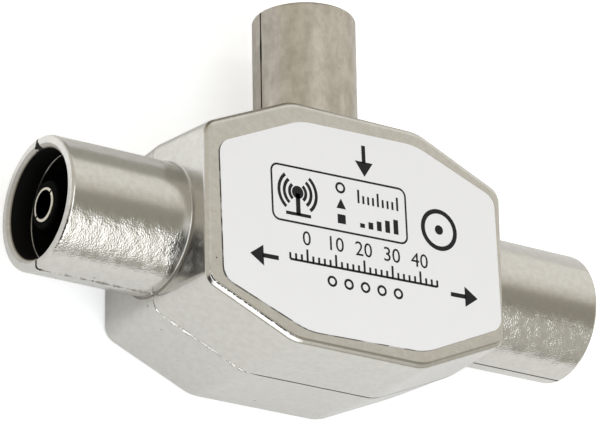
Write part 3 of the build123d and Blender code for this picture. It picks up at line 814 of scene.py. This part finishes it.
# %% Black printing ink
def printing_ink():
    """Screen-printed ink: nearly black, and paler where it is thin."""
    material, tree, place = start_material("black_printing_ink")
    thin = add(tree, "TexNoise", {"Vector": place, "Scale": 1 / 0.5, "Detail": 2.0})
    colour = add(tree, "Mix", {"Factor": thin, "A": linear("111216"), "B": linear("1d1e22")},
                 data_type="RGBA")
    return finish_material(material, tree, {"Base Color": colour, "Roughness": 0.5,
                                            "Specular IOR Level": 0.25})


piece("label_print", marks, printing_ink())

# %% [markdown]
# The camera stands at the left of the part and below it, looking down at the label by about fifty
# degrees. Its place and turn come from a fit of the real sizes to the photo, and the long lens keeps
# the perspective mild, as in a product photo.

# %% Camera
camera_place = Vector((-187.668, -126.458, 283.198)) * MM
right = Vector((0.829519, -0.015943, 0.55825))
up = Vector((-0.193379, 0.929557, 0.313893))
back = Vector((-0.52393, -0.368334, 0.768002))
turned = Matrix((right, up, back)).transposed().to_4x4()
lens = bpy.data.cameras.new("product_camera")
lens.lens = 240
lens.sensor_width = 36
lens.clip_start = 0.01
lens.clip_end = 10
camera = bpy.data.objects.new("product_camera", lens)
camera.matrix_world = Matrix.Translation(camera_place) @ turned
bpy.context.scene.collection.objects.link(camera)
bpy.context.scene.camera = camera
print("camera", round(camera_place.length, 3), "m from the part")

# %% [markdown]
# The part lies on a wide pale sheet. Camera rays see the sheet a little brighter than it is, so that
# it reads as plain white while the soft shadow stays. What the metal shows of it has painted light:
# the sheet glows a little close in front and more at the far left, a painted pool of light, and the
# sheet gives way to a grey table some way in front.

# %% White sheet
sheet_end_y = -70.0         # in front of the part the sheet ends here, and a grey table begins
half_floor = 3.0            # half the side of sheet and table together, in metres


def white_sheet():
    """Matt paper, pressed smooth: white with faint fibre, grey table past its near end, and painted glow."""
    material, tree, place = start_material("matt_white_sheet")
    fibre = add(tree, "TexNoise", {"Vector": place, "Scale": 1 / 2.0, "Detail": 3.0})
    tone = add(tree, "Mix", {"Factor": fibre, "A": linear("f6f6f7"), "B": linear("f8f8f9")}, data_type="RGBA")
    rays = add(tree, "LightPath", {}).node.outputs
    x, y = add(tree, "SeparateXYZ", {0: place}).node.outputs[:2]
    table = where(tree, (y, sheet_end_y, sheet_end_y - 1.0), (rays["Is Camera Ray"], 1.0, 0.0))
    tone = add(tree, "Mix", {"Factor": table, "A": tone, "B": linear("aaa8a3")}, data_type="RGBA")
    # Painted light: a glow that only reflections see, faint in front, and a pool of it at the far left.
    near = where(tree, (y, 10.0, -6.0), (y, sheet_end_y - 1.0, sheet_end_y))
    patch = where(tree, (x, -15.0, -21.0), (y, 4.0, 9.0), (y, 23.0, 21.0))
    painted_glow = add(tree, "Math", {0: near, 1: 0.1}, operation="MULTIPLY")
    painted_glow = add(tree, "Math", {0: patch, 1: 0.4, 2: painted_glow}, operation="MULTIPLY_ADD")
    shown = add(tree, "Math", {0: painted_glow, 1: rays["Is Glossy Ray"]}, operation="MULTIPLY")
    lift = add(tree, "Math", {0: rays["Is Camera Ray"], 1: 0.5, 2: shown}, operation="MULTIPLY_ADD")
    return finish_material(material, tree, {"Base Color": tone, "Roughness": 0.9, "Specular IOR Level": 0.1,
                                            "Emission Color": linear("fafdff"), "Emission Strength": lift})


sheet_mesh = bpy.data.meshes.new("white_sheet")
corners = [(-half_floor, -half_floor, 0), (half_floor, -half_floor, 0), (half_floor, half_floor, 0),
           (-half_floor, half_floor, 0)]
sheet_mesh.from_pydata(corners, [], [(0, 1, 2, 3)])
sheet_mesh.materials.append(white_sheet())
sheet = bpy.data.objects.new("white_sheet", sheet_mesh)
bpy.context.scene.collection.objects.link(sheet)

# %% [markdown]
# A grey card stands behind the part, and only the camera doesn't see it. The top of the left socket
# shows it and turns darker than the right one, which looks past its end.

# %% Grey card
card_left, card_right, card_y, card_top = -70, 44, 80, 45
card_mesh = bpy.data.meshes.new("grey_card")
card_corners = np.array([(card_left, card_y, 0), (card_right, card_y, 0), (card_right, card_y, card_top),
                         (card_left, card_y, card_top)]) * MM
card_mesh.from_pydata(card_corners.tolist(), [], [(0, 1, 2, 3)])
card_material, card_tree, card_place = start_material("matt_grey_card")
card_fibre = add(card_tree, "TexNoise", {"Vector": card_place, "Scale": 1 / 2.0, "Detail": 3.0})
card_tone = add(card_tree, "Mix", {"Factor": card_fibre, "A": linear("c2bfb8"), "B": linear("c6c3bc")},
                data_type="RGBA")
finish_material(card_material, card_tree, {"Base Color": card_tone, "Roughness": 0.9})
card_mesh.materials.append(card_material)
card = bpy.data.objects.new("grey_card", card_mesh)
bpy.context.scene.collection.objects.link(card)
card.visible_camera = False

# %% [markdown]
# A metal shows what surrounds it, so the lamp is a large soft box with real edges. It leans over the
# near side and draws the white bands along the edges. Its right edge lies just where the left
# socket's pebbled side looks, so the pebbles glint there. The box stops short of where the camera
# stands, and only the camera doesn't see it.

# %% Soft box
def soft_box(name, corner, tall, wide, radiance, colour):
    """Area lamp from its lower right corner and its two sides, in millimetres. It shines square to
    both, towards tall x wide turned round, and its power is radiance * pi * area."""
    tall, wide, corner = Vector(tall), Vector(wide), Vector(corner)
    light = bpy.data.lights.new(name, "AREA")
    light.shape = "RECTANGLE"
    light.size, light.size_y = tall.length * MM, wide.length * MM
    light.energy = radiance * np.pi * light.size * light.size_y
    light.color = colour
    box = bpy.data.objects.new(name, light)
    sides = (tall.normalized(), wide.normalized(), tall.cross(wide).normalized())
    middle = (corner + tall / 2 + wide / 2) * MM
    box.matrix_world = Matrix.Translation(middle) @ Matrix(sides).transposed().to_4x4()
    box.visible_camera = False
    bpy.context.scene.collection.objects.link(box)
    print(name, "power", round(light.energy, 3), "W")


soft_box("near_soft_box", corner=(88, -240, 38), tall=(47, 91, 222), wide=(-225, 17, 41), radiance=1.4,
         colour=(0.95, 0.975, 1.0))

# %% [markdown]
# The room is a warm light grey, and darker in front of the part. It is brighter low on the far right,
# where a second light stands, and straight above, where a white ceiling panel lights the label. Two
# dark places show in the metal: the gap between these lights, and a dark screen at the near left.
# Directions are unit vectors, and the dot product of two of them is the cosine of the angle between
# them. Brightness is given in linear light, because some of these places are brighter than white.
# The camera itself sees white.

# %% Room
far_light = Vector((0.5, 0.78, 0.37))
overhead_light = Vector((0.0, -0.15, 0.99))
ceiling_gap = Vector((0.524, -0.066, 0.849))
dark_screen = Vector((-0.707, -0.707, 0.0))
beside_screen = Vector((-0.707, 0.707, 0.0))

world = bpy.data.worlds.new("soft_room")
world.use_nodes = True
room = world.node_tree
room.nodes.clear()
look = add(room, "TexCoord", {}).node.outputs["Generated"]
to_back, level = add(room, "SeparateXYZ", {0: look}).node.outputs[1:]
to_far, to_overhead, to_gap, to_screen, to_side = [
    add(room, "VectorMath", {0: look, 1: direction.normalized()},
        operation="DOT_PRODUCT").node.outputs["Value"]
    for direction in (far_light, overhead_light, ceiling_gap, dark_screen, beside_screen)]
on_screen = where(room, (to_screen, 0.2, 0.35), (away_from(room, to_side, 0.0), 0.46, 0.32),
                  (level, 0.92, 0.8))
tone = (0.57, 0.55, 0.49, 1.0)
for share, brightness in ((where(room, (to_back, -0.5, 0.15)), (0.7, 0.665, 0.585, 1.0)),
                          (where(room, (to_far, 0.78, 0.97)), (0.95, 0.925, 0.87, 1.0)),
                          (where(room, (to_overhead, 0.88, 0.94)), (1.75, 1.78, 1.82, 1.0)),
                          (where(room, (to_gap, 0.92, 0.98)), (0.33, 0.31, 0.25, 1.0)),
                          (on_screen, (0.03, 0.028, 0.025, 1.0))):
    tone = add(room, "Mix", {"Factor": share, "A": tone, "B": brightness}, data_type="RGBA")
seen = add(room, "LightPath", {}).node.outputs["Is Camera Ray"]
tone = add(room, "Mix", {"Factor": seen, "A": tone, "B": (1.0, 1.0, 1.0, 1.0)}, data_type="RGBA")
add(room, "OutputWorld", {"Surface": add(room, "Background", {"Color": tone, "Strength": 1.0})})
bpy.context.scene.world = world
bpy.context.scene.view_settings.view_transform = "Standard"
print("room has", len(room.nodes), "nodes")
